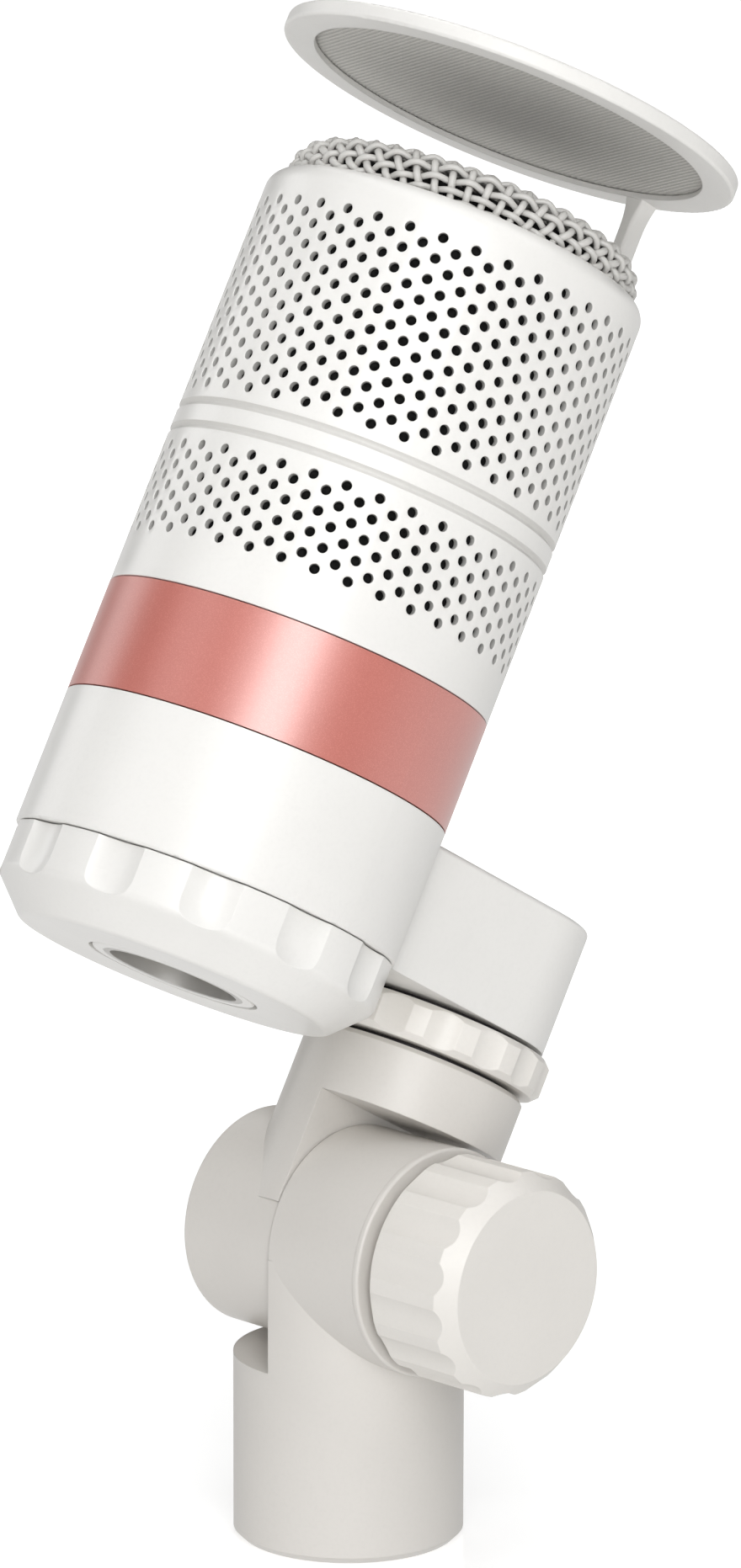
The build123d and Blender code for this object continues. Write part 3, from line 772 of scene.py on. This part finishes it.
def make_pop_stalk():
    """Flat rounded stalk that widens where it meets the ring."""
    levels = [(STALK_BOTTOM, 0.0)]
    for k in range(FLARE_STEPS + 1):
        share = k / FLARE_STEPS
        levels.append((POP_UNDER - FLARE_LENGTH * (1 - share), share**3))
    points, faces = [], []
    for height, spread in levels:
        half_x = STALK_WIDTH / 2 + FLARE_WIDE * spread
        half_y = STALK_DEPTH / 2 + FLARE_DEEP * spread
        for quarter, (sx, sy) in enumerate(((1, 1), (-1, 1), (-1, -1), (1, -1))):
            for k in range(STALK_CORNER_STEPS + 1):
                t = pi / 2 * (quarter + k / STALK_CORNER_STEPS)
                x = sx * (half_x - STALK_CORNER_R) + STALK_CORNER_R * cos(t)
                y = sy * (half_y - STALK_CORNER_R) + STALK_CORNER_R * sin(t)
                points.append((x, STALK_Y + y, height + STALK_OVERLAP * spread))
    count = 4 * (STALK_CORNER_STEPS + 1)
    for row in range(len(levels) - 1):
        low, high = row * count, (row + 1) * count
        for k in range(count):
            after = (k + 1) % count
            faces.append((low + k, low + after, high + after, high + k))
    last = (len(levels) - 1) * count
    faces.append(tuple(range(count)))
    faces.append(tuple(last + k for k in range(count)))
    make_piece("pop_arm", points, faces, "pop_filter", "pop_plastic", sharp=40, stands_for=["pop_stalk"])


make_pop_fabric()
make_pop_stalk()


# ---------------------------------------------------------------- floor, lights and camera
FLOOR_REACH = 6.0
FLOOR_GAP = 0.0002          # the floor lies this far under the stem


def make_floor():
    """White table that glows a little more the further it is from the stem."""
    mesh = bpy.data.meshes.new("floor")
    corners = [(FLOOR_REACH * x, FLOOR_REACH * y, 0) for x, y in ((-1, -1), (1, -1), (1, 1), (-1, 1))]
    mesh.from_pydata(corners, [], [(0, 1, 2, 3)])
    n = Nodes("floor_look")
    n.put(n.shader.inputs["Base Color"], n.blend(n.noise(6.0, 3.0), grey(0.84), grey(0.86)))
    n.put(n.shader.inputs["Roughness"], n.spread(n.noise(40.0, 3.0), 0.10, 0.14))
    n.put(n.shader.inputs["Emission Color"], grey(1.0))
    away = n.add("ShaderNodeVectorMath", operation="LENGTH")
    n.put(away.inputs[0], n.place)
    n.put(n.shader.inputs["Emission Strength"], n.spread(away.outputs["Value"], 0.46, 0.95, 0.02, 0.7))
    mesh.materials.append(n.material)
    floor = bpy.data.objects.new("floor", mesh)
    bpy.context.scene.collection.objects.link(floor)
    floor.location.z = -FLOOR_GAP
    floor.visible_diffuse = False
    floor.visible_glossy = False


def add_softbox(name, direction, distance, size, power, target):
    """A soft rectangular light that faces the target from the given direction."""
    data = bpy.data.lights.new(name, "AREA")
    data.shape = "RECTANGLE"
    data.size, data.size_y = size
    data.energy = power
    light = bpy.data.objects.new(name, data)
    bpy.context.scene.collection.objects.link(light)
    toward = Vector(direction).normalized()
    light.location = target + toward * distance
    light.rotation_mode = "QUATERNION"
    light.rotation_quaternion = toward.to_track_quat("Z", "Y")


def heading(azimuth, elevation):
    """Unit direction from the object: azimuth 0 is towards -Y, and 90 towards +X."""
    a, e = radians(azimuth), radians(elevation)
    return Vector((sin(a) * cos(e), -cos(a) * cos(e), sin(e)))


CAMERA_AZIMUTH = 45.66
CAMERA_ELEVATION = 13.13
CAMERA_ROLL = 0.0025        # radians
CAMERA_DISTANCE = 1.24434
CAMERA_AIM = 0.100          # height on the stem's axis that the camera is set from
CAMERA_SHIFT = (0.00304, 0.012934)      # moved right and up, without turning
CAMERA_LENS = 196.45
SENSOR = 36.0


def make_camera():
    """Camera at its azimuth and elevation, rolled and moved a little in its own plane."""
    data = bpy.data.cameras.new("camera")
    data.sensor_width = SENSOR
    data.lens = CAMERA_LENS
    data.clip_start, data.clip_end = 0.05, 20.0
    camera = bpy.data.objects.new("camera", data)
    bpy.context.scene.collection.objects.link(camera)
    back = heading(CAMERA_AZIMUTH, CAMERA_ELEVATION)
    right = Vector((cos(radians(CAMERA_AZIMUTH)), sin(radians(CAMERA_AZIMUTH)), 0))
    up = back.cross(right)
    right, up = (
        right * cos(CAMERA_ROLL) + up * sin(CAMERA_ROLL),
        up * cos(CAMERA_ROLL) - right * sin(CAMERA_ROLL),
    )
    place = Vector((0, 0, CAMERA_AIM)) + back * CAMERA_DISTANCE
    place += right * CAMERA_SHIFT[0] + up * CAMERA_SHIFT[1]
    turn = Matrix((right, up, back)).transposed().to_4x4()
    camera.matrix_world = Matrix.Translation(place) @ turn
    bpy.context.scene.camera = camera


SOFTBOXES = (
    # name, azimuth and elevation in degrees, size in metres, watts
    ("key", 50, 28, (0.66, 0.9), 8.6),
    ("front", 45, 8, (1.2, 0.8), 6.6),
    ("high", 40, 50, (1.0, 1.0), 2.6),
    ("left_strip", -80, 14, (0.6, 0.8), 2.2),
    ("left", -20, 24, (0.8, 1.2), 2.6),
    ("right", 115, 45, (0.9, 0.9), 3.6),
    ("top", 0, 88, (1.6, 1.6), 10.5),
    ("back", -135, 55, (1.0, 1.0), 6.5),
)
SOFTBOX_DISTANCE = 1.5
TABLE_GLOW = 0.86           # brightness of the white table, seen from the object


def make_lights():
    """Softboxes round the object, and a world that lights it from below as the table does."""
    middle = (cad_low + cad_high) / 2
    for name, azimuth, elevation, size, watts in SOFTBOXES:
        add_softbox(name, heading(azimuth, elevation), SOFTBOX_DISTANCE, size, watts, middle)
    world = bpy.data.worlds.new("studio")
    world.use_nodes = True
    tree = world.node_tree
    place = tree.nodes.new("ShaderNodeTexCoord")
    split = tree.nodes.new("ShaderNodeSeparateXYZ")
    below = tree.nodes.new("ShaderNodeMapRange")
    below.inputs["From Min"].default_value = -0.05
    below.inputs["From Max"].default_value = 0.05
    below.inputs["To Min"].default_value = TABLE_GLOW
    below.inputs["To Max"].default_value = 0.0
    tree.links.new(place.outputs["Generated"], split.inputs["Vector"])
    tree.links.new(split.outputs["Z"], below.inputs["Value"])
    tree.links.new(below.outputs["Result"], tree.nodes["Background"].inputs["Strength"])
    tree.nodes["Background"].inputs["Color"].default_value = (1.0, 0.995, 0.985, 1.0)
    bpy.context.scene.world = world


make_floor()
make_lights()
make_camera()
bpy.context.scene.view_settings.view_transform = "Standard"
